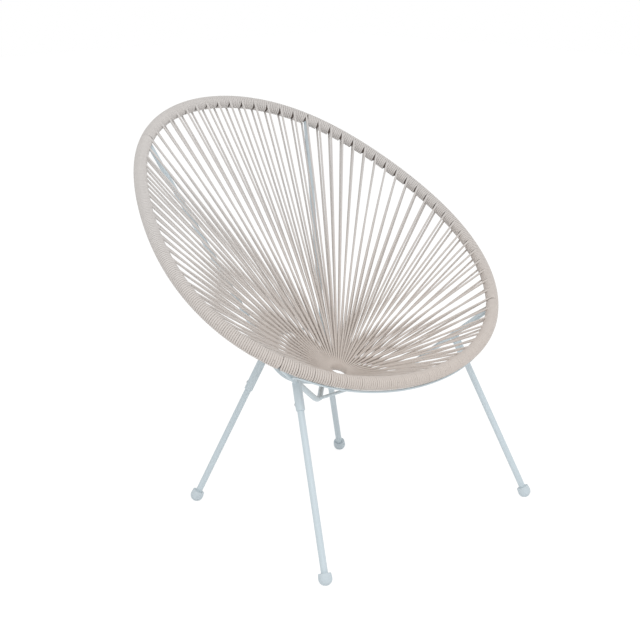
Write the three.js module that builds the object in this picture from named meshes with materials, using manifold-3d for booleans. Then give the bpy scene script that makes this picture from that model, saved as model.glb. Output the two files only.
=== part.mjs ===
import * as THREE from "three";
import { mergeVertices } from "three/addons/utils/BufferGeometryUtils.js";
import Module from "manifold-3d";

// An Acapulco chair: cord wound round a tilted steel hoop and drawn to a small ring under the seat.
// Sizes are in millimetres. X points to the sitter's left, Y to the back and Z up from the floor.

const degree = Math.PI / 180;
const fit = 0.3; // clearance between pieces that touch

// The hoop is an egg shape in a tilted plane: a mean radius and the shares of its cosine waves
const hoopMeanRadius = 354.3;
const hoopWaveShares = [-0.157, 0.0355, 0.0278, -0.0143];
const hoopTilt = 35.7 * degree;
const hoopCentreBack = 42.5;
const hoopRise = 309.5; // from the rods' low runs to the middle of the hoop
const hoopTubeRadius = 8;
const hoopTubeSides = 8;
const hoopDivisions = 800;

// The cord is wound round the hoop in sections, with one pair of strings at each notch between them.
// No turn can pass a rod, so a notch lies at each rod and the others are spread evenly between rods.
const cordRadius = 2;
const cordSides = 5;
const topSectionCount = 15;
const sideSectionCount = 22;
const frontSectionCount = 21;
const sectionsPerLength = 4;
const windingSides = 7;
const notchDepthShare = 0.6;
const notchHalfWidthShare = 0.45;
const rimSlopeShare = 0.25;
const stringStartShare = 1.6;

// The centre ring is tilted too, and the cord turns round it
const ringMeanRadius = 25.3;
const ringWireRadius = 4;
const ringTilt = 20 * degree;
const ringCentreFront = 61;
const ringRise = 24; // from the rods' low runs to the middle of the ring
const ringSides = 7;
const ringSteps = 32;
const fanAngle = 30.5 * degree;
const fanReachShare = 1.2;
const fanArcSteps = 4;
const stringGap = 0.7;
const stringsEvenShare = 0.5;
const stringLead = 4.5 * degree; // how far a string meets the fan to one side of its notch's own spoke

// Two bent rods carry the hoop: each runs down the back, crosses under the seat and rises at the side
const rodRadius = 5;
const rodSides = 10;
const rodBendSteps = 4;
const rodBendReach = 38;
const rodLowHeight = 233;
const rodLowBackSide = 57;
const rodLowBack = 30;
const rodElbowSide = 97;
const rodElbowFront = 108;
const sideRodDrop = 9;
const backRodHoopShare = 0.0987;
const sideRodHoopShare = 0.3645;

// Thin bars tie the rods, and a bow follows the front of the hoop from below
const barRadius = 3;
const barSides = 8;
const barSteps = 12;
const rearBarRodShare = 0.155;
const rearBarSag = 24;
const bowRadius = 2;
const bowSpace = 1.1;
const bowRodShare = 0.7;
const bowKnots = 10;
const bowSteps = 20;
const postRadius = 2.5;

// The legs plug into sockets that are welded under the rods
const legRadius = 6;
const legSides = 12;
const frontFootSide = 270;
const frontFootFront = 300;
const rearFootSide = 194;
const rearFootBack = 128;
const frontLegRodShare = 0.616;
const rearLegRodShare = 0.1225;
const socketRadius = 8;
const frontSocketLength = 50;
const rearSocketLength = 82;
const socketPlugLength = 14;
const screwRadius = 2;
const screwHeadRadius = 3.6;
const screwHeadHeight = 2.2;
const screwDepth = 3.5;
const screwInset = 12;
const screwDomeShare = 0.6;
const screwSides = 8;

// Each foot is a round cap with a flat under it
const footRadius = 12;
const footHeightShare = 0.82;
const footCollar = 9;
const footCollarRadius = 10.8;
const footSides = 12;
const footArcSteps = 4;

const wasm = await Module();
wasm.setup();

const pieces = new THREE.Group();
const steel = new THREE.MeshStandardMaterial({ color: 0xc6d3d9, roughness: 0.42, metalness: 0.2 });
const zinc = new THREE.MeshStandardMaterial({ color: 0x9a9da0, roughness: 0.35, metalness: 0.9 });
const cap = new THREE.MeshStandardMaterial({ color: 0xbecdd4, roughness: 0.55, metalness: 0 });
const cord = new THREE.MeshStandardMaterial({ color: 0xbfb3a8, roughness: 0.6, metalness: 0 });

// Turns a closed three.js geometry into a solid that can be joined and cut
function solid(geometry) {
  const bare = geometry.clone();
  bare.deleteAttribute("normal");
  bare.deleteAttribute("uv");
  const merged = mergeVertices(bare, 1e-4);
  const faces = [];
  const index = merged.index.array;
  for (let i = 0; i < index.length; i += 3) {
    const [a, b, c] = index.slice(i, i + 3);
    if (a !== b && b !== c && c !== a) faces.push(a, b, c);
  }
  const vertProperties = new Float32Array(merged.attributes.position.array);
  const triVerts = new Uint32Array(faces);
  return new wasm.Manifold(new wasm.Mesh({ numProp: 3, vertProperties, triVerts }));
}

// Adds a solid to the chair as a named mesh
function place(name, made, material) {
  const { vertProperties, triVerts } = made.getMesh();
  const geometry = new THREE.BufferGeometry();
  geometry.setAttribute("position", new THREE.BufferAttribute(vertProperties, 3));
  geometry.setIndex(new THREE.BufferAttribute(triVerts, 1));
  geometry.computeVertexNormals();
  const mesh = new THREE.Mesh(geometry, material);
  mesh.name = name;
  pieces.add(mesh);
}

// Joins rings of points to a closed surface: the last ring meets the first one again
function skin(rings) {
  const count = rings[0].length;
  const index = [];
  rings.forEach((ring, i) => {
    const here = i * count;
    const next = ((i + 1) % rings.length) * count;
    ring.forEach((point, j) => {
      const k = (j + 1) % count;
      index.push(here + j, next + k, here + k);
      index.push(here + j, next + j, next + k);
    });
  });
  return solid(new THREE.BufferGeometry().setFromPoints(rings.flat()).setIndex(index));
}

// A round bar along a path
function bar(path, radius, sides, steps) {
  const shape = new THREE.Shape();
  shape.absarc(0, 0, radius, 0, 2 * Math.PI, false);
  const settings = { extrudePath: path, steps, curveSegments: sides / 2, bevelEnabled: false };
  return solid(new THREE.ExtrudeGeometry(shape, settings));
}

// A straight round bar from one point to another
function straight(from, to, radius, sides) {
  const length = from.distanceTo(to);
  const geometry = new THREE.CylinderGeometry(radius, radius, length, sides);
  return turned(geometry.translate(0, length / 2, 0), from, to);
}

// Turns a geometry that stands on the Y axis to stand on a point and face another
function turned(geometry, from, to) {
  const up = new THREE.Vector3(0, 1, 0);
  const way = to.clone().sub(from).normalize();
  geometry.applyQuaternion(new THREE.Quaternion().setFromUnitVectors(up, way));
  return solid(geometry.translate(from.x, from.y, from.z));
}

// A lathed solid that stands on a point and faces another, from radius and height pairs
function lathed(points, segments, from, to) {
  const profile = points.map(([radius, height]) => new THREE.Vector2(radius, height));
  return turned(new THREE.LatheGeometry(profile, segments), from, to);
}

const vector = (x, y, z) => new THREE.Vector3(x, y, z);
const toward = (from, to, distance) => from.clone().add(to.clone().sub(from).setLength(distance));

// The tilted planes of the hoop and of the ring
const across = vector(1, 0, 0);
const planeUp = (tilt) => vector(0, Math.cos(tilt), Math.sin(tilt));
const planeNormal = (tilt) => vector(0, -Math.sin(tilt), Math.cos(tilt));
const hoopUp = planeUp(hoopTilt);
const hoopNormal = planeNormal(hoopTilt);
const hoopCentre = vector(0, hoopCentreBack, rodLowHeight + hoopRise);

class Hoop extends THREE.Curve {
  getPoint(t) {
    const angle = 2 * Math.PI * t;
    const waves = hoopWaveShares.reduce((sum, share, i) => sum + share * Math.cos((i + 1) * angle), 1);
    const radius = hoopMeanRadius * waves;
    return hoopCentre
      .clone()
      .addScaledVector(hoopUp, radius * Math.cos(angle))
      .addScaledVector(across, radius * Math.sin(angle));
  }
}

const hoop = new Hoop();
hoop.arcLengthDivisions = hoopDivisions;

// The notches at the rods, counted from the left back rod round by the front, and their shares of the hoop
const leftBack = 0;
const leftSide = leftBack + sideSectionCount;
const rightSide = leftSide + frontSectionCount;
const rightBack = rightSide + sideSectionCount;
const sections = rightBack + topSectionCount;
const rodNotches = [leftBack, leftSide, rightSide, rightBack, sections];
const rodHoopShares = [
  backRodHoopShare,
  sideRodHoopShare,
  1 - sideRodHoopShare,
  1 - backRodHoopShare,
  1 + backRodHoopShare,
];

function notchPlace(i) {
  const notch = ((i % sections) + sections) % sections;
  const span = rodNotches.findLastIndex((first) => first <= notch);
  const [first, next] = [rodNotches[span], rodNotches[span + 1]];
  const [from, to] = [rodHoopShares[span], rodHoopShares[span + 1]];
  return hoop.getPointAt((from + ((to - from) * (notch - first)) / (next - first)) % 1);
}

// A place on the rim, counted in sections: straight from notch to notch
function rimPlace(count) {
  const before = Math.floor(count);
  return notchPlace(before).lerp(notchPlace(before + 1), count - before);
}

// The count of the place that lies a distance past a notch, or before it where the distance is negative
function beside(notch, distance) {
  const pitch = notchPlace(notch).distanceTo(notchPlace(notch + Math.sign(distance)));
  return notch + distance / pitch;
}

// The way along the rim, which turns at a notch
function rimAlong(count) {
  return rimPlace(count + rimSlopeShare).sub(rimPlace(count - rimSlopeShare)).normalize();
}

// A ring of points round the rim
function rimRing(count, radius, sides) {
  const centre = rimPlace(count);
  const inward = rimAlong(count).cross(hoopNormal).normalize();
  return Array.from({ length: sides }, (unused, i) => {
    const angle = (2 * Math.PI * i) / sides;
    return centre
      .clone()
      .addScaledVector(inward, radius * Math.cos(angle))
      .addScaledVector(hoopNormal, radius * Math.sin(angle));
  });
}

function hoopSolid(radius) {
  return skin(Array.from({ length: sections }, (unused, i) => rimRing(i, radius, hoopTubeSides)));
}

place("hoop_tube", hoopSolid(hoopTubeRadius), steel);
const hoopClearance = hoopSolid(hoopTubeRadius + fit);

// The two long rods are mirrored, with one above the other where they cross. The corners of a rod are on the
// hoop at the back, low at the back, at the crossing, at the elbow and under the rim.
function rodCorners(side) {
  const elbow = vector(-side * rodElbowSide, -rodElbowFront, rodLowHeight);
  const rim = notchPlace(side > 0 ? rightSide : leftSide).sub(vector(0, 0, sideRodDrop));
  const crossingShare = rodLowBackSide / (rodLowBackSide + rodElbowSide);
  const low = vector(side * rodLowBackSide, rodLowBack, rodLowHeight);
  const crossing = low.clone().lerp(elbow, crossingShare);
  crossing.z += side * (rodRadius + fit / 2);
  const top = notchPlace(side > 0 ? leftBack : rightBack);
  return { top, low, crossing, elbow, end: rim };
}

// A rod is bent round its two low corners, and runs straight between them and the crossing
function rodPath({ top, low, crossing, elbow, end }) {
  const bends = [
    [toward(low, top, rodBendReach), low, toward(low, crossing, rodBendReach)],
    [toward(elbow, crossing, rodBendReach), elbow, toward(elbow, end, rodBendReach)],
  ];
  const path = new THREE.CurvePath();
  path.add(new THREE.LineCurve3(top, bends[0][0]));
  path.add(new THREE.QuadraticBezierCurve3(...bends[0]));
  path.add(new THREE.LineCurve3(bends[0][2], crossing));
  path.add(new THREE.LineCurve3(crossing, bends[1][0]));
  path.add(new THREE.QuadraticBezierCurve3(...bends[1]));
  path.add(new THREE.LineCurve3(bends[1][2], end));
  return path;
}

// A round bar along runs and bends, with a ring of points at each end of a run and at each bend's steps
function bentBar(path, radius) {
  const rings = [];
  const look = (curve, share) => [curve.getPoint(share), curve.getTangent(share)];
  const places = path.curves.flatMap((curve) => {
    const steps = curve.isLineCurve3 ? 1 : rodBendSteps;
    return Array.from({ length: steps }, (unused, i) => look(curve, i / steps));
  });
  places.push(look(path.curves.at(-1), 1));
  const side = across.clone();
  places.forEach(([point, along]) => {
    side.addScaledVector(along, -side.dot(along)).normalize();
    const other = along.clone().cross(side);
    rings.push(
      Array.from({ length: rodSides }, (unused, i) => {
        const angle = (2 * Math.PI * i) / rodSides;
        return point
          .clone()
          .addScaledVector(side, radius * Math.cos(angle))
          .addScaledVector(other, radius * Math.sin(angle));
      }),
    );
  });
  return capped(rings);
}

// Closes a row of rings with a point in the middle of each end
function capped(rings) {
  const total = (ring) => ring.reduce((sum, point) => sum.add(point), vector(0, 0, 0));
  const tip = (ring) => ring.map(() => total(ring).divideScalar(ring.length));
  return skin([tip(rings[0]), ...rings, tip(rings.at(-1))].reverse());
}

const rods = [1, -1].map((side) => {
  const corners = rodCorners(side);
  const path = rodPath(corners);
  return { side, corners, path, clearance: bentBar(path, rodRadius + fit) };
});
const clearOfRods = (made) => rods.reduce((rest, rod) => rest.subtract(rod.clearance), made);

rods.forEach((rod) => {
  const name = rod.side > 0 ? "frame_rod_left" : "frame_rod_right";
  place(name, bentBar(rod.path, rodRadius).subtract(hoopClearance), steel);
});

// Places on a rod: the middle of its elbow, and shares of its straight runs up to the hoop
const elbowOf = (rod) => rod.path.curves[4].getPoint(0.5);
const alongBack = (rod, share) => rod.corners.low.clone().lerp(rod.corners.top, share);
const alongSide = (rod, share) => rod.corners.elbow.clone().lerp(rod.corners.end, share);

const [leftRod, rightRod] = rods;
const frontBarEnds = [elbowOf(rightRod), elbowOf(leftRod)];
const frontBar = straight(...frontBarEnds, barRadius, barSides);
const frontBarClearance = straight(...frontBarEnds, barRadius + fit, barSides);
place("front_crossbar", clearOfRods(frontBar), steel);

const rearBarEnds = rods.map((rod) => alongBack(rod, rearBarRodShare));
const rearBarPull = rearBarEnds[0].clone().lerp(rearBarEnds[1], 0.5).add(vector(0, 2 * rearBarSag, 0));
const rearBarPath = new THREE.QuadraticBezierCurve3(rearBarEnds[0], rearBarPull, rearBarEnds[1]);
place("rear_crossbar", clearOfRods(bar(rearBarPath, barRadius, barSides, barSteps)), steel);

// The bow runs under the front of the hoop from one side rod to the other
const windingRadius = hoopTubeRadius + fit + 2 * cordRadius;
const bowShift = vector(0, 0, -windingRadius - bowSpace - bowRadius);
const bowFirst = leftSide + 1;
const bowLast = rightSide - 1;
const bowInner = Array.from({ length: bowKnots }, (unused, i) =>
  rimPlace(bowFirst + ((bowLast - bowFirst) * i) / (bowKnots - 1)).add(bowShift),
);
const bowPoints = [alongSide(rightRod, bowRodShare), ...bowInner, alongSide(leftRod, bowRodShare)];
const bowPath = new THREE.CatmullRomCurve3(bowPoints);
place("front_bow", clearOfRods(bar(bowPath, bowRadius, barSides, bowSteps)), steel);

// The centre ring and the two posts that hold it down to the frame
const ringUp = planeUp(ringTilt);
const ringNormal = planeNormal(ringTilt);
const ringCentre = vector(0, -ringCentreFront, rodLowHeight + ringRise);

function ringSolid(radius) {
  const geometry = new THREE.TorusGeometry(ringMeanRadius, radius, ringSides, ringSteps);
  geometry.rotateX(ringTilt);
  return solid(geometry.translate(ringCentre.x, ringCentre.y, ringCentre.z));
}

place("centre_ring", ringSolid(ringWireRadius), steel);
const ringClearance = ringSolid(ringWireRadius + fit);
const ringRear = ringCentre.clone().addScaledVector(ringUp, ringMeanRadius);
const ringFront = ringCentre.clone().addScaledVector(ringUp, -ringMeanRadius);
const posts = [
  ["ring_post_rear", leftRod.corners.crossing, ringRear],
  ["ring_post_front", frontBarEnds[0].clone().lerp(frontBarEnds[1], 0.5), ringFront],
];
posts.forEach(([name, foot, head]) => {
  const post = clearOfRods(straight(foot, head, postRadius, barSides));
  place(name, post.subtract(frontBarClearance).subtract(ringClearance), steel);
});

// The fan of turns round the ring: over it, round its inside and back under it, in two spreading skirts
const cordDiameter = 2 * cordRadius;
const notchHalfWidth = cordDiameter * notchHalfWidthShare;
const stringStart = cordDiameter * stringStartShare;
const fanReach = ((sections * (cordDiameter + fit)) / (2 * Math.PI)) * fanReachShare;
const fanLength = (fanReach - ringMeanRadius) / Math.cos(fanAngle);
const fanRow = ringWireRadius + fit + cordRadius;

// The fan's outline as radius and height pairs: out, round the ring's wire and back, and then its inner side
function fanProfile() {
  const normal = fanAngle + Math.PI / 2;
  const arc = (radius, steps, back) =>
    Array.from({ length: steps + 1 }, (unused, i) => {
      const turn = normal + (Math.PI * (back ? steps - i : i)) / steps;
      return [ringMeanRadius + radius * Math.cos(turn), radius * Math.sin(turn)];
    });
  const edge = (offset) => [
    ringMeanRadius + fanLength * Math.cos(fanAngle) + offset * Math.cos(normal),
    fanLength * Math.sin(fanAngle) + offset * Math.sin(normal),
  ];
  const outer = fanRow + cordRadius;
  const inner = fanRow - cordRadius;
  const bore = inner / Math.cos(Math.PI / fanArcSteps / 2);
  const outside = [edge(outer), ...arc(outer, fanArcSteps + 1, false), edge(-outer)];
  return [...outside, edge(-inner), ...arc(bore, fanArcSteps, true), edge(inner)];
}

const ringAhead = ringCentre.clone().add(ringNormal);
const fan = lathed([...fanProfile(), fanProfile()[0]], ringSteps, ringCentre, ringAhead);
const postSpaces = posts.map(([name, foot, head]) => straight(foot, head, postRadius + fit, barSides));
const fanSpaces = [...postSpaces, frontBarClearance];
place("centre_winding", clearOfRods(fanSpaces.reduce((rest, space) => rest.subtract(space), fan)), cord);

// The side of its notch on which a string leaves the rim: at a rod, the side that the rod leaves free
function stringWay(notch, layer) {
  if (rodNotches.includes(notch)) return notch < rightSide ? layer : 1;
  return -layer;
}

// One string of a pair, from the rim to the fan: the pair crosses on its way
function string(notch, layer) {
  const room = rodNotches.includes(notch) ? rodRadius + fit : notchHalfWidth;
  const rim = rimPlace(beside(notch, stringWay(notch, layer) * (room + cordRadius)));
  const spoke = rim.clone().sub(ringCentre);
  spoke.addScaledVector(ringNormal, -spoke.dot(ringNormal)).normalize();
  const angle = (2 * Math.PI * (notch + topSectionCount / 2)) / sections;
  const even = ringUp.clone().multiplyScalar(Math.cos(angle)).addScaledVector(across, Math.sin(angle));
  spoke.lerp(even, stringsEvenShare).normalize();
  spoke.applyAxisAngle(ringNormal, layer * stringLead);
  const reach = fanReach + stringGap;
  const height = fanLength * Math.sin(fanAngle);
  const rowUp = ringNormal.clone().multiplyScalar(Math.cos(fanAngle));
  rowUp.addScaledVector(spoke, -Math.sin(fanAngle));
  const hub = ringCentre.clone().addScaledVector(spoke, reach).addScaledVector(ringNormal, height);
  hub.addScaledVector(rowUp, layer * fanRow);
  const side = rimAlong(notch).cross(hub.clone().sub(rim)).normalize();
  side.multiplyScalar(Math.sign(side.dot(hoopNormal)) * layer * (hoopTubeRadius + fit + cordRadius));
  const start = toward(rim.add(side), hub, stringStart);
  return straight(start, hub, cordRadius, cordSides);
}

// One length of cord: its wound sections on the rim, each with a notch, and its strings
function cordLength(notches) {
  const top = windingRadius;
  const notchRadius = top - cordDiameter * notchDepthShare;
  const bore = (hoopTubeRadius + fit) / Math.cos(Math.PI / windingSides);
  const seam = (notch, way) => beside(notch, -way * fit / 2) + way * 0.5;
  const start = seam(notches[0], -1);
  const end = seam(notches.at(-1), 1);
  const outside = [[start, top]];
  const inside = [[start, bore]];
  notches.forEach((notch) => {
    outside.push([beside(notch, -notchHalfWidth), top]);
    outside.push([notch, notchRadius]);
    outside.push([beside(notch, notchHalfWidth), top]);
    inside.push([notch, bore]);
  });
  outside.push([end, top]);
  inside.push([end, bore]);
  const stations = [...outside, ...inside.reverse()];
  let made = skin(stations.map(([count, radius]) => rimRing(count, radius, windingSides)));
  notches.forEach((notch) => {
    made = made.add(string(notch, 1)).add(string(notch, -1));
  });
  return clearOfRods(made);
}

const allNotches = Array.from({ length: sections }, (unused, i) => i);
for (let i = 0; i * sectionsPerLength < sections; i += 1) {
  const first = i * sectionsPerLength;
  const name = `seat_cord_${String(i + 1).padStart(2, "0")}`;
  place(name, cordLength(allNotches.slice(first, first + sectionsPerLength)), cord);
}

// The floor's space, which cuts the feet flat
const floorSide = 2 * (frontFootSide + frontFootFront);
const floor = solid(new THREE.BoxGeometry(floorSide, floorSide, footRadius).translate(0, 0, -footRadius / 2));

// A leg with its socket, screw and foot cap, from its foot on the floor to its seat under a rod
function legSet(name, foot, seat, socketLength) {
  const ball = vector(foot.x, foot.y, footRadius * footHeightShare);
  const mouth = toward(seat, ball, socketLength);
  const legTop = toward(seat, ball, socketPlugLength + fit);
  const legStart = toward(ball, seat, fit);
  const way = seat.clone().sub(ball).normalize();
  const rearward = vector(0, 1, 0);
  rearward.addScaledVector(way, -way.dot(rearward)).normalize();
  const screwAxis = toward(mouth, seat, screwInset);
  const screwSeat = screwAxis.clone().addScaledVector(rearward, socketRadius + fit);
  const screwTip = screwAxis.clone().addScaledVector(rearward, legRadius - screwDepth);
  const shank = screwSeat.distanceTo(screwTip);
  const hole = straight(
    toward(screwTip, screwSeat, -fit),
    toward(screwSeat, screwTip, -screwHeadHeight),
    screwRadius + fit,
    screwSides,
  );

  const depth = socketLength - socketPlugLength;
  const socketProfile = [
    [0, depth],
    [legRadius + fit, depth],
    [legRadius + fit, 0],
    [socketRadius, 0],
    [socketRadius, socketLength],
    [0, socketLength],
  ];
  const socket = lathed(socketProfile, legSides, mouth, seat);
  place(`leg_socket_${name}`, clearOfRods(socket).subtract(hole), steel);
  place(`leg_${name}`, straight(legStart, legTop, legRadius, legSides).subtract(hole), steel);

  const screwProfile = [
    [0, -shank],
    [screwRadius, -shank],
    [screwRadius, 0],
    [screwHeadRadius, 0],
    [screwHeadRadius, screwHeadHeight / 2],
    [screwHeadRadius * screwDomeShare, screwHeadHeight],
    [0, screwHeadHeight],
  ];
  const ahead = screwSeat.clone().add(rearward);
  place(`leg_screw_${name}`, lathed(screwProfile, screwSides, screwSeat, ahead), zinc);

  const round = Array.from({ length: footArcSteps + 1 }, (unused, i) => {
    const turn = (Math.PI / 2) * (i / footArcSteps);
    return [footRadius * Math.sin(turn), -footRadius * Math.cos(turn)];
  });
  const capProfile = [
    ...round,
    [footCollarRadius, footCollar],
    [legRadius + fit, footCollar],
    [legRadius + fit, 0],
    [0, 0],
  ];
  place(`foot_cap_${name}`, lathed(capProfile, footSides, ball, seat).subtract(floor), cap);
}

[1, -1].forEach((side) => {
  const half = side > 0 ? "left" : "right";
  const backRod = side > 0 ? leftRod : rightRod;
  const sideRod = side > 0 ? rightRod : leftRod;
  const frontFoot = vector(side * frontFootSide, -frontFootFront, 0);
  const rearFoot = vector(side * rearFootSide, rearFootBack, 0);
  legSet(`front_${half}`, frontFoot, alongSide(sideRod, frontLegRodShare), frontSocketLength);
  legSet(`rear_${half}`, rearFoot, alongBack(backRod, rearLegRodShare), rearSocketLength);
});

export default pieces;
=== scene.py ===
import math
import random
from bisect import bisect_right

import bmesh
import bpy
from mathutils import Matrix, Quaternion, Vector


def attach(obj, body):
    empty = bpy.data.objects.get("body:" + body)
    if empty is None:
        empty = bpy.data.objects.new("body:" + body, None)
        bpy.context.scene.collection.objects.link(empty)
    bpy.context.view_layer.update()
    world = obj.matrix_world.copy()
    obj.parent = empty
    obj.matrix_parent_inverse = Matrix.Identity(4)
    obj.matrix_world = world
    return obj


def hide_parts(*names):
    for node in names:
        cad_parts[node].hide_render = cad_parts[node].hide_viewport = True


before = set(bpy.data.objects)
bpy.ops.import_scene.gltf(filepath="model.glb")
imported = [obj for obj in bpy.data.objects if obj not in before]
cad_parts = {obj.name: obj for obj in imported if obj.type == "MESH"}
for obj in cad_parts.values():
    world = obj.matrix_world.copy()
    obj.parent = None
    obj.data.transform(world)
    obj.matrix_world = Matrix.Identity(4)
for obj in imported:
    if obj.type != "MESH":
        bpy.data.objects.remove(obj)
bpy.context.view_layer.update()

# The studio: a camera at the photograph's viewing angle, a white floor that keeps the chair's soft shadow,
# one large soft lamp in front of the chair and a weaker one at its side. Nothing here is part of the chair.
camera_place = Vector((-1.795, -1.844, 1.079))
camera_back = Vector((-0.673, -0.687, 0.274))
camera_lens = 79.84
camera_sensor = 36
camera_far_end = 50
floor_half = 8.0
floor_height = -0.0004
floor_glow = 0.8
floor_glow_strength = 1.1
room_light = 0.75
lamp_aim = (0, 0, 0.4)
key_lamp_place = (-1.6, -2.2, 2.8)
key_lamp_size = 2.2
key_lamp_power = 42
side_lamp_place = (2.6, -0.8, 1.8)
side_lamp_size = 2.4
side_lamp_power = 5


def srgb(red, green, blue):
    """A colour written in 0 to 255, as the linear values that a shader takes"""
    parts = [value / 255 for value in (red, green, blue)]
    linear = [part / 12.92 if part <= 0.04045 else ((part + 0.055) / 1.055) ** 2.4 for part in parts]
    return (*linear, 1.0)


def add_node(tree, kind, inputs=None, **settings):
    """A node with its settings, and its inputs as plain values or as links from other nodes"""
    node = tree.nodes.new(kind)
    for setting, value in settings.items():
        setattr(node, setting, value)
    for socket, value in (inputs or {}).items():
        if isinstance(value, bpy.types.NodeSocket):
            tree.links.new(value, node.inputs[socket])
        else:
            node.inputs[socket].default_value = value
    return node


def new_material(name):
    """A material and its tree of nodes, which is empty yet"""
    material = bpy.data.materials.new(name)
    material.use_nodes = True
    material.node_tree.nodes.clear()
    return material, material.node_tree


def add_surface(tree, inputs):
    """The shader of a material, with its inputs, and the output that it goes to"""
    shader = add_node(tree, "ShaderNodeBsdfPrincipled", inputs)
    add_node(tree, "ShaderNodeOutputMaterial", {"Surface": shader.outputs[0]})


def two_tints(tree, share, tints):
    """A colour between two others, by the share that a pattern gives"""
    mixed = add_node(tree, "ShaderNodeMix", {0: share}, data_type="RGBA")
    mixed.inputs[6].default_value, mixed.inputs[7].default_value = tints
    return mixed.outputs[2]


def seen_directly(tree):
    """1 for rays from the camera, from gloss and through glass, 0 for light that falls on the chair"""
    path = add_node(tree, "ShaderNodeLightPath").outputs
    straight = add_node(
        tree, "ShaderNodeMath", {0: path["Is Camera Ray"], 1: path["Is Glossy Ray"]}, operation="MAXIMUM"
    )
    return add_node(
        tree, "ShaderNodeMath", {0: straight.outputs[0], 1: path["Is Transmission Ray"]}, operation="MAXIMUM"
    ).outputs[0]


def link_object(name, data):
    piece = bpy.data.objects.new(name, data)
    bpy.context.scene.collection.objects.link(piece)
    return piece


scene = bpy.context.scene
scene.view_settings.view_transform = "Standard"

camera = link_object("camera", bpy.data.cameras.new("camera"))
camera.data.lens = camera_lens
camera.data.sensor_width = camera_sensor
camera.data.clip_end = camera_far_end
camera.location = camera_place
camera.rotation_euler = camera_back.to_track_quat("Z", "Y").to_euler()
scene.camera = camera

paper, tree = new_material("white_floor")
glow = add_node(tree, "ShaderNodeEmission", {"Color": (1, 1, 1, 1), "Strength": floor_glow_strength})
matt = add_node(tree, "ShaderNodeBsdfDiffuse", {"Color": (1, 1, 1, 1)})
paler = add_node(tree, "ShaderNodeMixShader", {0: floor_glow, 1: matt.outputs[0], 2: glow.outputs[0]})
seen = seen_directly(tree)
mixed = add_node(tree, "ShaderNodeMixShader", {0: seen, 1: matt.outputs[0], 2: paler.outputs[0]})
add_node(tree, "ShaderNodeOutputMaterial", {"Surface": mixed.outputs[0]})

corners = [(-1, -1), (1, -1), (1, 1), (-1, 1)]
floor_mesh = bpy.data.meshes.new("studio_floor")
floor_corners = [(x * floor_half, y * floor_half, floor_height) for x, y in corners]
floor_mesh.from_pydata(floor_corners, [], [(0, 1, 2, 3)])
floor_mesh.materials.append(paper)
link_object("studio_floor", floor_mesh)

world = bpy.data.worlds.new("white_room")
world.use_nodes = True
scene.world = world
tree = world.node_tree
tree.nodes.clear()
shade = add_node(tree, "ShaderNodeBackground", {"Color": (1, 1, 1, 1), "Strength": room_light})
bright = add_node(tree, "ShaderNodeBackground", {"Color": (1, 1, 1, 1), "Strength": 1.0})
seen = seen_directly(tree)
mixed = add_node(tree, "ShaderNodeMixShader", {0: seen, 1: shade.outputs[0], 2: bright.outputs[0]})
add_node(tree, "ShaderNodeOutputWorld", {"Surface": mixed.outputs[0]})


def soft_lamp(name, place, size, power):
    lamp = bpy.data.lights.new(name, "AREA")
    lamp.size = size
    lamp.energy = power
    stand = link_object(name, lamp)
    stand.location = place
    stand.rotation_euler = (Vector(place) - Vector(lamp_aim)).to_track_quat("Z", "Y").to_euler()


soft_lamp("key_lamp", key_lamp_place, key_lamp_size, key_lamp_power)
soft_lamp("side_lamp", side_lamp_place, side_lamp_size, side_lamp_power)

# The hoop: one steel tube bent to an egg shape and tilted back, painted before it is wound.
# Every turn of cord and every string starts from its line. Only a little of it shows at the notches.
hoop_mean_radius = 0.3543
hoop_wave_shares = (-0.157, 0.0355, 0.0278, -0.0143)
hoop_tilt = math.radians(35.7)
hoop_centre = Vector((0, 0.0425, 0.5425))
hoop_tube_radius = 0.008
hoop_steps = 1600
hoop_drawn_step = 4
hoop_sides = 24
along_step = 0.0005
sharp_edge = math.radians(35)

across = Vector((1, 0, 0))
hoop_up = Vector((0, math.cos(hoop_tilt), math.sin(hoop_tilt)))
hoop_normal = Vector((0, -math.sin(hoop_tilt), math.cos(hoop_tilt)))


def hoop_point(angle):
    waves = sum(share * math.cos((i + 1) * angle) for i, share in enumerate(hoop_wave_shares))
    radius = hoop_mean_radius * (1 + waves)
    return hoop_centre + radius * (math.cos(angle) * hoop_up + math.sin(angle) * across)


hoop_points = [hoop_point(math.tau * i / hoop_steps) for i in range(hoop_steps + 1)]
hoop_runs = [0.0]
for before, after in zip(hoop_points, hoop_points[1:]):
    hoop_runs.append(hoop_runs[-1] + (after - before).length)
rim_length = hoop_runs[-1]


def rim_point(run):
    """The point of the hoop's line that lies a distance along it from the top"""
    run = run % rim_length
    i = min(bisect_right(hoop_runs, run) - 1, hoop_steps - 1)
    share = (run - hoop_runs[i]) / (hoop_runs[i + 1] - hoop_runs[i])
    return hoop_point(math.tau * (i + share) / hoop_steps)


def rim_outward(run):
    """The way that points out of the hoop in its own plane"""
    along = rim_point(run + along_step) - rim_point(run - along_step)
    return hoop_normal.cross(along).normalized()


# The paint: a pale powder coat on all the steel that shows. The hoop under the cord gets painted shade
# instead: a dark brown grey for the deep shadow that lies on it in the notches.
paint_colour = srgb(200, 212, 218)
paint_roughness = 0.42
# Painted shade: the hoop's dark colour stands for the deep shadow in the notches between the wound sections.
hoop_shadow_colour = srgb(104, 92, 86)
hoop_shadow_roughness = 0.6
paint_cloud_scale = 18.0
paint_dark_share = 0.965
paint_light_share = 1.03
paint_roughness_spread = 0.05
paint_grain_scale = 900.0
paint_peel_strength = 0.35
paint_peel_depth = 0.0002


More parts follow.
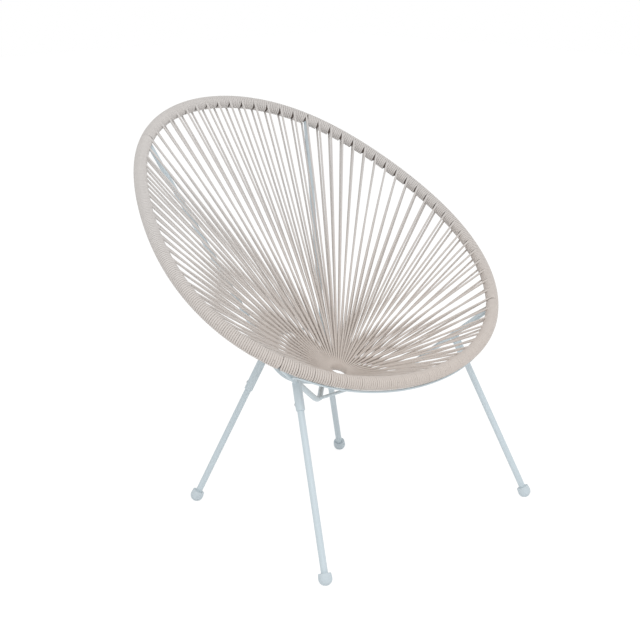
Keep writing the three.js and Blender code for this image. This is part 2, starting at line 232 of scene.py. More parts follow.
def paint_finish(name, colour, roughness, grain=paint_grain_scale):
    """One colour with faint clouds, satin, with a fine grain like the orange peel of baked powder"""
    material, tree = new_material(name)
    place = add_node(tree, "ShaderNodeTexCoord").outputs["Object"]
    clouds = add_node(
        tree, "ShaderNodeTexNoise", {"Vector": place, "Scale": paint_cloud_scale, "Detail": 3.0}
    )
    darker = tuple(part * paint_dark_share for part in colour[:3]) + (1.0,)
    lighter = tuple(min(part * paint_light_share, 1.0) for part in colour[:3]) + (1.0,)
    tint = two_tints(tree, clouds.outputs[0], (darker, lighter))
    peel = add_node(tree, "ShaderNodeTexNoise", {"Vector": place, "Scale": grain, "Detail": 2.0})
    bump = add_node(
        tree,
        "ShaderNodeBump",
        {"Height": peel.outputs[0], "Strength": paint_peel_strength, "Distance": paint_peel_depth},
    )
    smoothest, roughest = roughness - paint_roughness_spread, roughness + paint_roughness_spread
    polish = add_node(
        tree, "ShaderNodeMapRange", {"Value": clouds.outputs[0], "To Min": smoothest, "To Max": roughest}
    )
    add_surface(tree, {"Base Color": tint, "Roughness": polish.outputs[0], "Normal": bump.outputs[0]})
    return material


def new_tree(name, inputs):
    """A tree that shapes a mesh, with named inputs for its sizes"""
    tree = bpy.data.node_groups.new(name, "GeometryNodeTree")
    tree.interface.new_socket("Geometry", in_out="INPUT", socket_type="NodeSocketGeometry")
    for label, kind in inputs:
        tree.interface.new_socket(label, in_out="INPUT", socket_type=kind)
    tree.interface.new_socket("Geometry", in_out="OUTPUT", socket_type="NodeSocketGeometry")
    return tree, add_node(tree, "NodeGroupInput").outputs


def end_tree(tree, geometry, material):
    realized = add_node(tree, "GeometryNodeRealizeInstances", {0: geometry})
    covered = add_node(tree, "GeometryNodeSetMaterial", {0: realized.outputs[0], "Material": material})
    add_node(tree, "NodeGroupOutput", {0: covered.outputs[0]})


def shaped(name, mesh, tree, values):
    """Runs a tree on a mesh and keeps what it makes as a plain mesh"""
    piece = link_object(name, mesh)
    modifier = piece.modifiers.new("shape", "NODES")
    modifier.node_group = tree
    for item in tree.interface.items_tree:
        if item.in_out == "INPUT" and item.name in values:
            modifier[item.identifier] = values[item.name]
    ready = piece.evaluated_get(bpy.context.evaluated_depsgraph_get())
    made = bpy.data.meshes.new_from_object(ready)
    piece.modifiers.remove(modifier)
    piece.data = made
    bpy.data.meshes.remove(mesh)
    made.name = name
    made.set_sharp_from_angle(angle=sharp_edge)
    return piece


# The tree that every bar, tube and cord here is drawn with: a round section carried along a path.
# It also keeps where each point lies round and along the bar, for patterns that run lengthwise.
bar_tree, bar_inputs = new_tree(
    "round bar along a path",
    [("Bar radius", "NodeSocketFloat"), ("Sides", "NodeSocketInt"), ("Material", "NodeSocketMaterial")],
)
line = add_node(bar_tree, "GeometryNodeMeshToCurve", {"Mesh": bar_inputs["Geometry"]})
run = add_node(bar_tree, "GeometryNodeSplineParameter")
marked = add_node(
    bar_tree,
    "GeometryNodeStoreNamedAttribute",
    {"Geometry": line.outputs[0], "Name": "bar_run", "Value": run.outputs["Length"]},
)
circle = add_node(
    bar_tree,
    "GeometryNodeCurvePrimitiveCircle",
    {"Resolution": bar_inputs["Sides"], "Radius": bar_inputs["Bar radius"]},
)
spot = add_node(bar_tree, "GeometryNodeInputPosition")
section = add_node(
    bar_tree,
    "GeometryNodeStoreNamedAttribute",
    {"Geometry": circle.outputs[0], "Name": "bar_round"},
    data_type="FLOAT_VECTOR",
)
bar_tree.links.new(spot.outputs[0], section.inputs["Value"])
thickness = add_node(bar_tree, "GeometryNodeInputNamedAttribute", {"Name": "thickness"})
body = add_node(
    bar_tree,
    "GeometryNodeCurveToMesh",
    {
        "Curve": marked.outputs[0],
        "Profile Curve": section.outputs[0],
        "Scale": thickness.outputs["Attribute"],
        "Fill Caps": True,
    },
)
smooth = add_node(bar_tree, "GeometryNodeSetShadeSmooth", {"Geometry": body.outputs[0]})
end_tree(bar_tree, smooth.outputs[0], bar_inputs["Material"])


def path_mesh(name, paths, closed=False):
    """A mesh with no faces, whose edges join the points of each path"""
    edges = []
    first = 0
    for path in paths:
        edges += [(first + i, first + i + 1) for i in range(len(path) - 1)]
        if closed:
            edges.append((first + len(path) - 1, first))
        first += len(path)
    mesh = bpy.data.meshes.new(name)
    mesh.from_pydata([point for path in paths for point in path], edges, [])
    return mesh


def drawn_bars(name, paths, radius, sides, material, closed=False, thickness=None):
    """Round bars along paths of points as one piece. Thickness holds a share of the radius for each point"""
    mesh = path_mesh(name, paths, closed)
    shares = mesh.attributes.new("thickness", "FLOAT", "POINT")
    shares.data.foreach_set("value", thickness or [1.0] * len(mesh.vertices))
    return shaped(name, mesh, bar_tree, {"Bar radius": radius, "Sides": sides, "Material": material})


def stands_for(piece, slot, *nodes):
    """The piece belongs to the one rigid body of the chair and takes the place of its plain nodes"""
    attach(piece, "root")
    if nodes:
        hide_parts(*nodes)


powder_coat = paint_finish("pale_powder_coat", paint_colour, paint_roughness)
painted_shade_hoop_coat = paint_finish("painted_shade_hoop_coat", hoop_shadow_colour, hoop_shadow_roughness)

hoop_line = hoop_points[:-1:hoop_drawn_step]
# The hoop takes the dark painted-shade coat, for the shadow at the notches, not the pale powder coat.
hoop = drawn_bars("hoop", [hoop_line], hoop_tube_radius, hoop_sides, painted_shade_hoop_coat, closed=True)
stands_for(hoop, "painted_steel", "hoop_tube")

# The two long rods: each is welded to the hoop at the back, runs down, bends forward under the seat,
# passes the other one, bends up at an elbow and is welded under the hoop at the side.
rod_radius = 0.005
rod_sides = 24
rod_low_height = 0.233
rod_low_back_side = 0.057
rod_low_back = 0.030
rod_elbow_side = 0.097
rod_elbow_front = 0.108
rod_bend_reach = 0.038
rod_bend_steps = 14
back_run_shares = (1, 0.7, 0.35)
side_rod_drop = 0.009
back_rod_share = 0.0987
side_rod_share = 0.3645
fit = 0.0003


def toward(start, end, distance):
    return start + (end - start).normalized() * distance


def bent(start, pull, end, steps):
    """Points of a bend from one run to the next, without the last point"""
    places = [i / steps for i in range(steps)]
    return [start * (1 - t) ** 2 + pull * 2 * t * (1 - t) + end * t * t for t in places]


def rod_line(side):
    low = Vector((side * rod_low_back_side, rod_low_back, rod_low_height))
    elbow = Vector((-side * rod_elbow_side, -rod_elbow_front, rod_low_height))
    crossing = low.lerp(elbow, rod_low_back_side / (rod_low_back_side + rod_elbow_side))
    crossing.z += side * (rod_radius + fit / 2)
    top = rim_point(side * back_rod_share * rim_length)
    end = rim_point(-side * side_rod_share * rim_length) - Vector((0, 0, side_rod_drop))
    low_bend = [toward(low, top, rod_bend_reach), low, toward(low, crossing, rod_bend_reach)]
    elbow_bend = [toward(elbow, crossing, rod_bend_reach), elbow, toward(elbow, end, rod_bend_reach)]
    runs = [low_bend[0] + (top - low_bend[0]) * share for share in back_run_shares]
    points = runs + bent(*low_bend, rod_bend_steps) + [low_bend[2], crossing]
    points += bent(*elbow_bend, rod_bend_steps) + [elbow_bend[2], elbow_bend[2].lerp(end, 0.5), end]
    return {
        "low": low,
        "elbow": elbow,
        "crossing": crossing,
        "top": top,
        "end": end,
        "elbow_middle": elbow_bend[0] * 0.25 + elbow * 0.5 + elbow_bend[2] * 0.25,
        "elbow_way": elbow_bend[2] - elbow_bend[0],
        "points": points,
    }


left_rod = rod_line(1)
right_rod = rod_line(-1)
for name, rod in (("rod_left", left_rod), ("rod_right", right_rod)):
    piece = drawn_bars(name, [rod["points"]], rod_radius, rod_sides, powder_coat)
    stands_for(piece, "painted_steel", f"frame_{name}")

# Thin bars tie the rods: a straight one between the two elbows, one with a gentle bend between the back runs,
# and the bow, which follows the front of the hoop from below and is welded to both side runs.
bar_radius = 0.003
bar_sides = 20
rear_bar_rod_share = 0.155
rear_bar_sag = 0.024
rear_bar_steps = 24
bow_radius = 0.002
bow_space = 0.0011
bow_rod_share = 0.7
bow_knots = 10
bow_ease_steps = 8
winding_radius = 0.0123
front_sections = 21

front_bar_ends = [right_rod["elbow_middle"], left_rod["elbow_middle"]]
front_bar = drawn_bars("front_bar", [front_bar_ends], bar_radius, bar_sides, powder_coat)
stands_for(front_bar, "painted_steel", "front_crossbar")

rear_bar_ends = [rod["low"].lerp(rod["top"], rear_bar_rod_share) for rod in (left_rod, right_rod)]
rear_bar_pull = rear_bar_ends[0].lerp(rear_bar_ends[1], 0.5) + Vector((0, 2 * rear_bar_sag, 0))
rear_bar_line = [*bent(rear_bar_ends[0], rear_bar_pull, rear_bar_ends[1], rear_bar_steps), rear_bar_ends[1]]
rear_bar = drawn_bars("rear_bar", [rear_bar_line], bar_radius, bar_sides, powder_coat)
stands_for(rear_bar, "painted_steel", "rear_crossbar")


def eased(points, steps):
    """A smooth line through points, which passes each of them"""
    ends = [2 * points[0] - points[1], *points, 2 * points[-1] - points[-2]]
    made = []
    for a, b, c, d in zip(ends, ends[1:], ends[2:], ends[3:]):
        for i in range(steps):
            t = i / steps
            curve = (2 * a - 5 * b + 4 * c - d) * t**2 + (3 * b - a - 3 * c + d) * t**3
            made.append(0.5 * (2 * b + (c - a) * t + curve))
    return [*made, points[-1]]


front_reach = (1 - 2 * side_rod_share) * rim_length
bow_drop = Vector((0, 0, winding_radius + bow_space + bow_radius))
bow_first = side_rod_share * rim_length + front_reach / front_sections
bow_reach = front_reach * (1 - 2 / front_sections)
bow_line = [rim_point(bow_first + bow_reach * i / (bow_knots - 1)) - bow_drop for i in range(bow_knots)]
bow_ends = [rod["elbow"].lerp(rod["end"], bow_rod_share) for rod in (right_rod, left_rod)]
bow_line = eased([bow_ends[0], *bow_line, bow_ends[1]], bow_ease_steps)
bow = drawn_bars("bow", [bow_line], bow_radius, bar_sides, powder_coat)
stands_for(bow, "painted_steel", "front_bow")

# The centre ring: round steel wire closed to a ring under the seat, which all strings turn round.
# Two short posts are welded between it and the frame, because the strings pull it up.
ring_mean_radius = 0.0253
ring_wire_radius = 0.004
ring_tilt = math.radians(20)
ring_centre = Vector((0, -0.061, 0.257))
ring_steps = 72
ring_sides = 16
post_radius = 0.0025

ring_up = Vector((0, math.cos(ring_tilt), math.sin(ring_tilt)))
ring_normal = Vector((0, -math.sin(ring_tilt), math.cos(ring_tilt)))


def circle_points(centre, first, second, radius, count):
    turns = [math.tau * i / count for i in range(count)]
    return [centre + radius * (math.cos(turn) * first + math.sin(turn) * second) for turn in turns]


ring_line = circle_points(ring_centre, ring_up, across, ring_mean_radius, ring_steps)
ring = drawn_bars("ring", [ring_line], ring_wire_radius, ring_sides, powder_coat, closed=True)
stands_for(ring, "painted_steel", "centre_ring")

post_heads = [ring_centre + ring_up * ring_mean_radius, ring_centre - ring_up * ring_mean_radius]
post_feet = [left_rod["crossing"], front_bar_ends[0].lerp(front_bar_ends[1], 0.5)]
for name, foot, head in zip(("post_rear", "post_front"), post_feet, post_heads):
    post = drawn_bars(name, [[foot, foot.lerp(head, 0.5), head]], post_radius, ring_sides, powder_coat)
    stands_for(post, "painted_steel", f"ring_{name}")

# The seat: round cord of 4 mm, wound tight round the hoop. At each notch it leaves the rim above the hoop,
# runs to the ring, turns round it and comes back below the hoop, where the next section is wound.
cord_radius = 0.002
cord_sides = 10
cord_pitch = 0.00408
cord_reel_radius = 0.0102
cord_turn_steps = 24
cord_string_steps = 6
front_notch_gap = 0.0004
other_notch_gap = 0.00005
rod_string_side = 0.006
rod_turn_side = 0.0074
slant_rest_angle = math.radians(40)
slant_power = 1.5
top_sections = 15
side_sections = 22
sections_per_length = 4
strings_even_share = 0.5
string_lead = math.radians(4.5)
ring_layers = (0.00615, 0.00935)
fan_reach_share = 1.2
ring_arc_steps = 16
ring_squeeze = 0.84
cord_shift_turns = 0.25
string_fit_rounds = 3
cord_seed = 100
cord_wobble = 0.00012
cord_wobble_turns = 0.37
cord_wobble_phase = 30000
cord_line_scale = 1500.0
cord_line_stretch = 0.02
cord_line_strength = 0.5
cord_line_depth = 0.0002
cord_cloud_scale = 45.0
cord_cloud_share = 0.45
# Painted light: the cord is tinted warm below the first height and cool above the second, for warm light
# bounced from below and cooler light from above.
cord_painted_warm_light_below = 0.28
cord_painted_cool_light_above = 0.56
cord_warm_lit_tints = (srgb(197, 187, 179), srgb(211, 202, 195))
cord_cool_lit_tints = (srgb(195, 191, 188), srgb(211, 207, 204))
cord_roughness = 0.48

sections = top_sections + 2 * side_sections + front_sections
rod_notches = [0, side_sections, side_sections + front_sections, sections - top_sections, sections]
rod_shares = [back_rod_share, side_rod_share, 1 - side_rod_share, 1 - back_rod_share, 1 + back_rod_share]
fan_reach = sections * (2 * cord_radius + fit) / math.tau * fan_reach_share


def notch_run(i):
    """How far along the rim a notch lies. Notches stand at the rods and are even between them"""
    laps, notch = divmod(i, sections)
    span = bisect_right(rod_notches, notch) - 1
    first, last = rod_notches[span], rod_notches[span + 1]
    share = (notch - first) / (last - first)
    return rim_length * (laps + rod_shares[span] + (rod_shares[span + 1] - rod_shares[span]) * share)


def string_ends(i, layer, run):
    """Where a string touches the winding and the ring, and its angles on both. Layer 1 is above, -1 below"""
    rim = rim_point(notch_run(i))
    spoke = rim - ring_centre
    spoke = (spoke - ring_normal * spoke.dot(ring_normal)).normalized()
    angle = math.tau * (i + top_sections / 2) / sections
    even = ring_up * math.cos(angle) + across * math.sin(angle)
    spoke = spoke.lerp(even, strings_even_share).normalized()
    spoke.rotate(Quaternion(ring_normal, layer * string_lead))
    wire = ring_centre + spoke * ring_mean_radius
    wrap = ring_layers[i % 2]
    centre = rim_point(run)
    outward = rim_outward(run)
    on_ring = wire
    for _ in range(string_fit_rounds):
        x, y = (on_ring - centre).dot(outward), (on_ring - centre).dot(hoop_normal)
        rim_angle = math.atan2(y, x) % math.tau - layer * math.acos(cord_reel_radius / math.hypot(x, y))
        side = math.cos(rim_angle) * outward + math.sin(rim_angle) * hoop_normal
        on_rim = centre + cord_reel_radius * side
        x, y = (on_rim - wire).dot(spoke), (on_rim - wire).dot(ring_normal)
        ring_angle = math.atan2(y, x) + layer * math.acos(wrap / math.hypot(x, y))
        on_ring = wire + wrap * (math.cos(ring_angle) * spoke + math.sin(ring_angle) * ring_normal)
    far, near = ((spot - ring_centre).cross(ring_normal).length for spot in (on_rim, on_ring))
    share = (fan_reach - near) / (far - near)
    return {
        "rim": on_rim,
        "rim_angle": rim_angle,
        "ring": on_ring,
        "ring_angle": ring_angle,
        "cut": on_ring.lerp(on_rim, share),
        "spoke": spoke,
        "wrap": wrap,
    }


def slant_share(angle):
    """How much of its slant a turn has: all of it at the rod, below the hoop, and none on the far side"""
    return ((1 - math.cos(angle - slant_rest_angle)) / 2) ** slant_power


def section_plan(k):
    """The wound section between two notches. No turn can pass a rod, so those beside one slant round it"""
    quarter = cord_pitch / 4
    gap = front_notch_gap if side_sections <= k < side_sections + front_sections else other_notch_gap
    start, end = notch_run(k) + quarter + gap / 2, notch_run(k + 1) - quarter - gap / 2
    first_slant = rod_turn_side - cord_pitch if k in rod_notches else 0.0
    last_slant = cord_pitch - rod_turn_side if k + 1 in rod_notches else 0.0
    below_run = start
    if k in rod_notches:
        below_run = notch_run(k) + (rod_string_side if k >= rod_notches[2] else -rod_string_side)
    below = string_ends(k, -1, below_run)
    above = string_ends(k + 1, 1, end + last_slant / 2)
    turns = round((end - start) / cord_pitch - 0.5) + 0.5
    return {
        "start": start,
        "pitch": (end - start) / turns,
        "turns": turns,
        "first_slant": first_slant,
        "last_slant": last_slant,
        "first_shift": below_run - start - first_slant * slant_share(below["rim_angle"]),
        "last_shift": last_slant / 2 - last_slant * slant_share(above["rim_angle"]),
        "below": below,
        "above": above,
    }


def ease(share):
    share = min(max(share, 0), 1)
    return share * share * (3 - 2 * share)


def wound(plan, first, last, chance):
    """Points of the cord's turns round the hoop, between two shares of a section"""
    count = max(2, round(plan["turns"] * cord_turn_steps * (last - first)))
    begin = plan["below"]["rim_angle"]
    whole = (plan["above"]["rim_angle"] - begin) % math.tau + math.tau * math.floor(plan["turns"])
    lean = [chance.uniform(-cord_wobble, cord_wobble) for _ in range(2)]
    points = []
    for i in range(count + 1):
        share = first + (last - first) * i / count
        done = share * plan["turns"]
        angle = begin + whole * share
        run = plan["start"] + done * plan["pitch"]
        run += (plan["first_slant"] * (1 - share) + plan["last_slant"] * share) * slant_share(angle)
        run += plan["first_shift"] * (1 - ease(done / cord_shift_turns))
        run += plan["last_shift"] * ease((done - plan["turns"]) / cord_shift_turns + 1)
        phase = angle * cord_wobble_turns + lean[1] * cord_wobble_phase
        swell = math.sin(math.pi * share) * math.sin(phase)
        radius = cord_reel_radius + swell * lean[0]
        side = rim_outward(run) * math.cos(angle) + hoop_normal * math.sin(angle)
        points.append(rim_point(run) + radius * side)
    return points


def string_points(string, outward):
    """The straight run between the cut and the rim, without its point on the rim"""
    points = [string["cut"].lerp(string["rim"], i / cord_string_steps) for i in range(cord_string_steps)]
    return points if outward else points[::-1]


def cord_finish():
    """Extruded plastic cord: grey, a little glossy, with faint draw lines along it, and painted light: tinted
    warmer low in the seat and cooler high up, for warm light bounced from below and cooler light from above
    """
    material, tree = new_material("grey_cord")
    around = add_node(tree, "ShaderNodeAttribute", attribute_name="bar_round").outputs["Vector"]
    run = add_node(tree, "ShaderNodeAttribute", attribute_name="bar_run").outputs["Fac"]
    lengthwise = add_node(tree, "ShaderNodeMath", {0: run, 1: cord_line_stretch}, operation="MULTIPLY")
    shift = add_node(tree, "ShaderNodeCombineXYZ", {"Z": lengthwise.outputs[0]})
    place = add_node(tree, "ShaderNodeVectorMath", {0: around, 1: shift.outputs[0]}, operation="ADD")
    lines = add_node(
        tree, "ShaderNodeTexNoise", {"Vector": place.outputs[0], "Scale": cord_line_scale, "Detail": 3.0}
    )
    spread = add_node(tree, "ShaderNodeTexCoord").outputs["Object"]
    clouds = add_node(
        tree, "ShaderNodeTexNoise", {"Vector": spread, "Scale": cord_cloud_scale, "Detail": 2.0}
    )
    both = add_node(
        tree,
        "ShaderNodeMix",
        {0: cord_cloud_share, 2: lines.outputs[0], 3: clouds.outputs[0]},
        data_type="FLOAT",
    )
    # Painted light: one pair of tints for the warm-lit low seat and one for the cool-lit high seat, mixed by
    # height.
    low = two_tints(tree, both.outputs[0], cord_warm_lit_tints)
    high = two_tints(tree, both.outputs[0], cord_cool_lit_tints)
    height = add_node(tree, "ShaderNodeSeparateXYZ", {0: spread}).outputs["Z"]
    rise = add_node(
        tree,
        "ShaderNodeMapRange",
        {"Value": height, "From Min": cord_painted_warm_light_below, "From Max": cord_painted_cool_light_above},
    )
    tint = add_node(tree, "ShaderNodeMix", {0: rise.outputs[0], 6: low, 7: high}, data_type="RGBA")
    bump = add_node(
        tree,
        "ShaderNodeBump",
        {"Height": lines.outputs[0], "Strength": cord_line_strength, "Distance": cord_line_depth},
    )
    add_surface(
        tree, {"Base Color": tint.outputs[2], "Roughness": cord_roughness, "Normal": bump.outputs[0]}
    )
    return material


cord_plastic = cord_finish()
plans = [section_plan(k) for k in range(sections)]
for number in range(sections // sections_per_length):
    chance = random.Random(cord_seed + number)
    first = number * sections_per_length
    before = plans[first - 1]
    half = wound(before, 0.5, 1, chance)
    paths = [half[:-1] + [before["above"]["rim"]] + string_points(before["above"], False)]
    for k in range(first, first + sections_per_length):
        plan = plans[k]
        path = string_points(plan["below"], True)
        if k < first + sections_per_length - 1:
            path += wound(plan, 0, 1, chance) + string_points(plan["above"], False)
        else:
            path += wound(plan, 0, 0.5, chance)
        paths.append(path)
    name = f"cord_length_{number + 1:02d}"
    piece = drawn_bars(name, paths, cord_radius, cord_sides, cord_plastic)
    stands_for(piece, "cord", f"seat_cord_{number + 1:02d}")

# Where the cord turns round the ring, alternate strings lie in two layers, squeezed together side by side.
# Each turn is drawn on its own: in above the wire, round its inner side and out below it, a little on.
half_squeezed = (1 + ring_squeeze) / 2
turn_paths = []
turn_shares = []
for k in range(sections):
    above, below = plans[k - 1]["above"], plans[k]["below"]
    start, end = above["ring_angle"] % math.tau, below["ring_angle"] % math.tau
    arc = []
    for i in range(ring_arc_steps + 1):
        share = i / ring_arc_steps
        spoke = above["spoke"].lerp(below["spoke"], share).normalized()
        angle = start + (end - start) * share
        side = math.cos(angle) * spoke + math.sin(angle) * ring_normal
        arc.append(ring_centre + ring_mean_radius * spoke + above["wrap"] * side)
    way_in = [above["cut"], above["cut"].lerp(arc[0], 0.5)]
    way_out = [arc[-1].lerp(below["cut"], 0.5), below["cut"]]
    turn_paths.append([*way_in, *arc, *way_out])
    turn_shares += [1.0, half_squeezed, *[ring_squeeze] * len(arc), half_squeezed, 1.0]
turns = drawn_bars("ring_turns", turn_paths, cord_radius, cord_sides, cord_plastic, thickness=turn_shares)
stands_for(turns, "cord", "centre_winding")

# The legs: four round tubes that splay outwards, plugged into sockets that are welded under the rods.
# Each socket is a wider tube with a chamfered mouth, a screw through its wall and a weld at the rod.
leg_radius = 0.006
leg_sides = 32
socket_radius = 0.008
front_socket_length = 0.050
rear_socket_length = 0.082
socket_plug_length = 0.014
socket_chamfer = 0.0006
screw_inset = 0.012
front_foot = (0.270, -0.300)
rear_foot = (0.194, 0.128)
front_leg_rod_share = 0.616
rear_leg_rod_share = 0.1225
foot_radius = 0.012
foot_height_share = 0.82


def lathed(name, profile, sides, start, end, material):
    """A turned solid that stands on a point and faces another, from rings that each have a radius,
    a height and, where a ring isn't round, how many flats it has"""
    made = bmesh.new()
    turn = Vector((0, 0, 1)).rotation_difference(end - start)
    rings = []
    for radius, height, *flats in profile:
        if radius == 0:
            rings.append([made.verts.new(start + turn @ Vector((0, 0, height)))] * sides)
            continue
        angles = [math.tau * i / sides for i in range(sides)]
        reaches = [radius] * sides
        if flats:
            flat = math.tau / flats[0]
            reaches = [radius / math.cos(a % flat - flat / 2) for a in angles]
        spots = [Vector((r * math.cos(a), r * math.sin(a), height)) for r, a in zip(reaches, angles)]
        rings.append([made.verts.new(start + turn @ spot) for spot in spots])
    for lower, upper in zip(rings, rings[1:]):
        for i in range(sides):
            j = (i + 1) % sides
            face = [lower[i], lower[j], upper[j], upper[i]]
            face = [vert for n, vert in enumerate(face) if vert not in face[:n]]
            if len(face) > 2:
                made.faces.new(face)
    bmesh.ops.recalc_face_normals(made, faces=made.faces)
    mesh = bpy.data.meshes.new(name)
    made.to_mesh(mesh)
    made.free()
    mesh.materials.append(material)
    mesh.shade_smooth()
    mesh.set_sharp_from_angle(angle=sharp_edge)
    return link_object(name, mesh)


legs = []
for side, half in ((1, "left"), (-1, "right")):
    back_rod = left_rod if side > 0 else right_rod
    side_rod = right_rod if side > 0 else left_rod
    front_seat = side_rod["elbow"].lerp(side_rod["end"], front_leg_rod_share)
    rear_seat = back_rod["low"].lerp(back_rod["top"], rear_leg_rod_share)
    legs.append((f"front_{half}", side, front_foot, front_seat, front_socket_length, side_rod))
    legs.append((f"rear_{half}", side, rear_foot, rear_seat, rear_socket_length, back_rod))

leg_places = []
for name, side, (foot_side, foot_back), seat, length, rod in legs:
    ball = Vector((side * foot_side, foot_back, foot_radius * foot_height_share))
    mouth = toward(seat, ball, length)
    depth = length - socket_plug_length
    bore = leg_radius + fit
    profile = [
        (0, depth),
        (bore, depth),
        (bore, socket_chamfer),
        (bore + socket_chamfer / 2, 0),
        (socket_radius - socket_chamfer, 0),
        (socket_radius, socket_chamfer),
        (socket_radius, length - socket_chamfer),
        (socket_radius - socket_chamfer, length),
        (0, length),
    ]
    socket = lathed(f"socket_{name}", profile, leg_sides, mouth, seat, powder_coat)
    stands_for(socket, "painted_steel", f"leg_socket_{name}")
    leg_top = toward(seat, ball, socket_plug_length + fit)
    leg_line = [toward(ball, seat, fit), ball.lerp(leg_top, 0.5), leg_top]
    leg = drawn_bars(f"tube_{name}", [leg_line], leg_radius, leg_sides, powder_coat)
    stands_for(leg, "painted_steel", f"leg_{name}")
    leg_places.append((name, ball, seat, mouth, rod))

# The foot caps: round cups of matt plastic pushed over the legs' ends, a little narrower at the collar.
# Each is cut off level below, so that it stands on a small flat.
foot_collar = 0.009
foot_collar_radius = 0.0108
foot_sides = 40
foot_arc_steps = 10
foot_shoulder = 0.001
foot_edge_width = 0.0004
foot_outer_edge_height = 0.0007
foot_inner_edge_height = 0.0005
foot_sharp_edge = math.radians(40)
cap_colour = srgb(198, 209, 215)
cap_roughness = 0.6
cap_grain_scale = 1800.0

cap_plastic = paint_finish("matt_cap", cap_colour, cap_roughness, cap_grain_scale)
for name, ball, seat, mouth, rod in leg_places:
    turns_of_cup = [math.pi / 2 * i / foot_arc_steps for i in range(foot_arc_steps + 1)]
    profile = [(foot_radius * math.sin(t), -foot_radius * math.cos(t)) for t in turns_of_cup]
    profile += [
        (foot_radius, foot_shoulder),
        (foot_collar_radius + foot_edge_width, foot_collar - foot_outer_edge_height),
        (foot_collar_radius, foot_collar),
        (leg_radius + fit + foot_edge_width, foot_collar),
        (leg_radius + fit, foot_collar - foot_inner_edge_height),
        (leg_radius + fit, 0),
        (0, 0),
    ]
    cup = lathed(f"foot_{name}", profile, foot_sides, ball, seat, cap_plastic)
    cut = bmesh.new()
    cut.from_mesh(cup.data)
    everything = cut.verts[:] + cut.edges[:] + cut.faces[:]
    floor_plane = {"plane_co": (0, 0, 0), "plane_no": (0, 0, 1)}
    found = bmesh.ops.bisect_plane(cut, geom=everything, clear_inner=True, **floor_plane)
    rim_edges = [item for item in found["geom_cut"] if isinstance(item, bmesh.types.BMEdge)]
    bmesh.ops.edgeloop_fill(cut, edges=rim_edges)
    bmesh.ops.recalc_face_normals(cut, faces=cut.faces)
    cut.to_mesh(cup.data)
    cut.free()
    cup.data.set_sharp_from_angle(angle=foot_sharp_edge)
    stands_for(cup, "foot_cap", f"foot_cap_{name}")

# The screws: zinc plated button heads with a hexagonal socket, one through the wall of each leg's socket.
# They face the back. All four are one turned form, set out on points that say which way each of them faces.
screw_radius = 0.002
screw_head_radius = 0.0036
screw_head_height = 0.0022
screw_depth = 0.0035
screw_sides = 24
screw_key = 0.0012
screw_key_depth = 0.0014
screw_key_flats = 6
screw_edge = 0.0003
screw_head_edge = 0.0002
screw_dome_shares = ((1, 0.45), (0.93, 0.72), (0.78, 0.91), (0.6, 1))
zinc_grain_scale = 1400.0
zinc_tints = (srgb(168, 172, 176), srgb(196, 199, 201))
zinc_smoothest = 0.25
zinc_roughest = 0.45


def zinc_finish():
    """Bright zinc: metal with a faint blue cast and fine turning marks"""
    material, tree = new_material("zinc_plate")
    place = add_node(tree, "ShaderNodeTexCoord").outputs["Object"]
    cloud = add_node(tree, "ShaderNodeTexNoise", {"Vector": place, "Scale": zinc_grain_scale, "Detail": 3.0})
    tint = two_tints(tree, cloud.outputs[0], zinc_tints)
    polish = add_node(
        tree,
        "ShaderNodeMapRange",
        {"Value": cloud.outputs[0], "To Min": zinc_smoothest, "To Max": zinc_roughest},
    )
    add_surface(tree, {"Base Color": tint, "Metallic": 1.0, "Roughness": polish.outputs[0]})
    return material


zinc = zinc_finish()
shank = socket_radius + fit - leg_radius + screw_depth
screw_dome = [(wide * screw_head_radius, high * screw_head_height) for wide, high in screw_dome_shares]
screw_profile = [
    (0, -shank),
    (screw_radius - screw_edge, -shank),
    (screw_radius, -shank + screw_edge),
    (screw_radius, 0),
    (screw_head_radius - screw_head_edge, 0),
    (screw_head_radius, screw_head_edge),
    *screw_dome,
    (screw_key, screw_head_height, screw_key_flats),
    (screw_key, screw_head_height - screw_key_depth, screw_key_flats),
    (0, screw_head_height - screw_key_depth),
]
screw_ends = (Vector((0, 0, 0)), Vector((0, 0, 1)))
screw_form = lathed("screw_form", screw_profile, screw_sides, *screw_ends, zinc)

screw_tree, screw_inputs = new_tree(
    "screws on points", [("Form", "NodeSocketObject"), ("Material", "NodeSocketMaterial")]
)
form = add_node(screw_tree, "GeometryNodeObjectInfo", {"Object": screw_inputs["Form"]})
facing = add_node(screw_tree, "GeometryNodeInputNamedAttribute", {"Name": "facing"}, data_type="FLOAT_VECTOR")
aimed = add_node(
    screw_tree, "FunctionNodeAlignRotationToVector", {"Vector": facing.outputs["Attribute"]}, axis="Z"
)
heads = add_node(
    screw_tree,
    "GeometryNodeInstanceOnPoints",
    {"Points": screw_inputs["Geometry"], "Instance": form.outputs["Geometry"], "Rotation": aimed.outputs[0]},
)
end_tree(screw_tree, heads.outputs[0], screw_inputs["Material"])

spots, ways = [], []
for name, ball, seat, mouth, rod in leg_places:
    way = (seat - ball).normalized()
    rearward = Vector((0, 1, 0))
    rearward = (rearward - way * way.dot(rearward)).normalized()
    spots.append(toward(mouth, seat, screw_inset) + rearward * (socket_radius + fit))
    ways += rearward[:]
mesh = path_mesh("screws", [[spot] for spot in spots])
mesh.attributes.new("facing", "FLOAT_VECTOR", "POINT").data.foreach_set("vector", ways)
screws = shaped("screws", mesh, screw_tree, {"Form": screw_form, "Material": zinc})
bpy.data.objects.remove(screw_form)
stands_for(screws, "screw", *[f"leg_screw_{name}" for name, *_ in leg_places])

# The welds: where a bar or a socket meets a rod, and at both ends of each post, a bead of overlapping drops
# runs round the joint. They were made before the frame was painted, so they have its colour.
bead_radius = 0.001
bead_step = 0.0013
bead_points = 40
bead_segments = 8
bead_rings = 5
bead_seed = 7
bead_sizes = (0.85, 1.15)


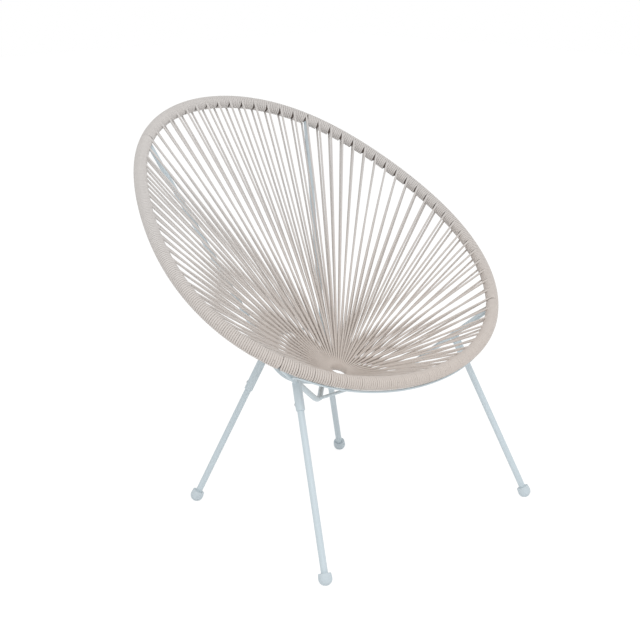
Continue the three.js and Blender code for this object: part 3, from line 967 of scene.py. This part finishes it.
def saddle(seat, rod_way, bar_way, bar_radius, rod_radius, half=None):
    """The line round a bar where its surface meets a rod's, or only the side of it that half points to"""
    rod_way, bar_way = rod_way.normalized(), bar_way.normalized()
    first = rod_way.cross(bar_way).normalized()
    second = bar_way.cross(first)
    flat = bar_way - rod_way * bar_way.dot(rod_way)
    line = []
    for side in circle_points(Vector((0, 0, 0)), first, second, bar_radius, bead_points):
        off = side - rod_way * side.dot(rod_way)
        lean = off.dot(flat)
        reach = math.sqrt(lean**2 + flat.length_squared * (rod_radius**2 - off.length_squared)) - lean
        line.append(seat + side + bar_way * reach / flat.length_squared)
    if half:
        sides = [(point - seat).dot(half) > 0 for point in line]
        turn = next(i for i in range(bead_points) if sides[i] and not sides[i - 1])
        line = [*line[turn:], *line[:turn]]
        return [point for point in line if (point - seat).dot(half) > 0]
    return [*line, line[0]]


bead_tree, bead_inputs = new_tree(
    "weld bead along a line",
    [("Bead radius", "NodeSocketFloat"), ("Step", "NodeSocketFloat"), ("Material", "NodeSocketMaterial")],
)
seam = add_node(bead_tree, "GeometryNodeMeshToCurve", {"Mesh": bead_inputs["Geometry"]})
drops = add_node(
    bead_tree,
    "GeometryNodeCurveToPoints",
    {"Curve": seam.outputs[0], "Length": bead_inputs["Step"]},
    mode="LENGTH",
)
drop = add_node(
    bead_tree,
    "GeometryNodeMeshUVSphere",
    {"Segments": bead_segments, "Rings": bead_rings, "Radius": bead_inputs["Bead radius"]},
)
uneven = add_node(
    bead_tree,
    "FunctionNodeRandomValue",
    {2: bead_sizes[0], 3: bead_sizes[1], "Seed": bead_seed},
    data_type="FLOAT",
)
laid = add_node(
    bead_tree,
    "GeometryNodeInstanceOnPoints",
    {
        "Points": drops.outputs["Points"],
        "Instance": drop.outputs["Mesh"],
        "Rotation": drops.outputs["Rotation"],
        "Scale": uneven.outputs[1],
    },
)
smooth = add_node(bead_tree, "GeometryNodeSetShadeSmooth", {"Geometry": laid.outputs[0]})
end_tree(bead_tree, smooth.outputs[0], bead_inputs["Material"])

bar_way = front_bar_ends[1] - front_bar_ends[0]
seams = []
for rod, end, way in ((right_rod, 0, bar_way), (left_rod, 1, -bar_way)):
    seams.append(saddle(front_bar_ends[end], rod["elbow_way"], way, bar_radius, rod_radius))
for rod, end in ((left_rod, rear_bar_ends[0]), (right_rod, rear_bar_ends[1])):
    seams.append(saddle(end, rod["top"] - rod["low"], rear_bar_pull - end, bar_radius, rod_radius))
for rod, end, after in ((right_rod, bow_line[0], bow_line[1]), (left_rod, bow_line[-1], bow_line[-2])):
    seams.append(saddle(end, rod["end"] - rod["elbow"], after - end, bow_radius, rod_radius))
for head, foot in zip(post_heads, post_feet):
    seams.append(saddle(head, across, foot - head, post_radius, ring_wire_radius))
carriers = ((left_rod["crossing"] - left_rod["low"], rod_radius), (bar_way, bar_radius))
for head, foot, (way, carrier_radius) in zip(post_heads, post_feet, carriers):
    seams.append(saddle(foot, way, head - foot, post_radius, carrier_radius))
for name, ball, seat, mouth, rod in leg_places:
    run = rod["top"] - rod["low"] if name.startswith("rear") else rod["end"] - rod["elbow"]
    for way in (run, -run):
        seams.append(saddle(seat, mouth - seat, way, rod_radius, socket_radius, half=mouth - seat))
bead_values = {"Bead radius": bead_radius, "Step": bead_step, "Material": powder_coat}
welds = shaped("welds", path_mesh("welds", seams), bead_tree, bead_values)
stands_for(welds, "painted_steel")
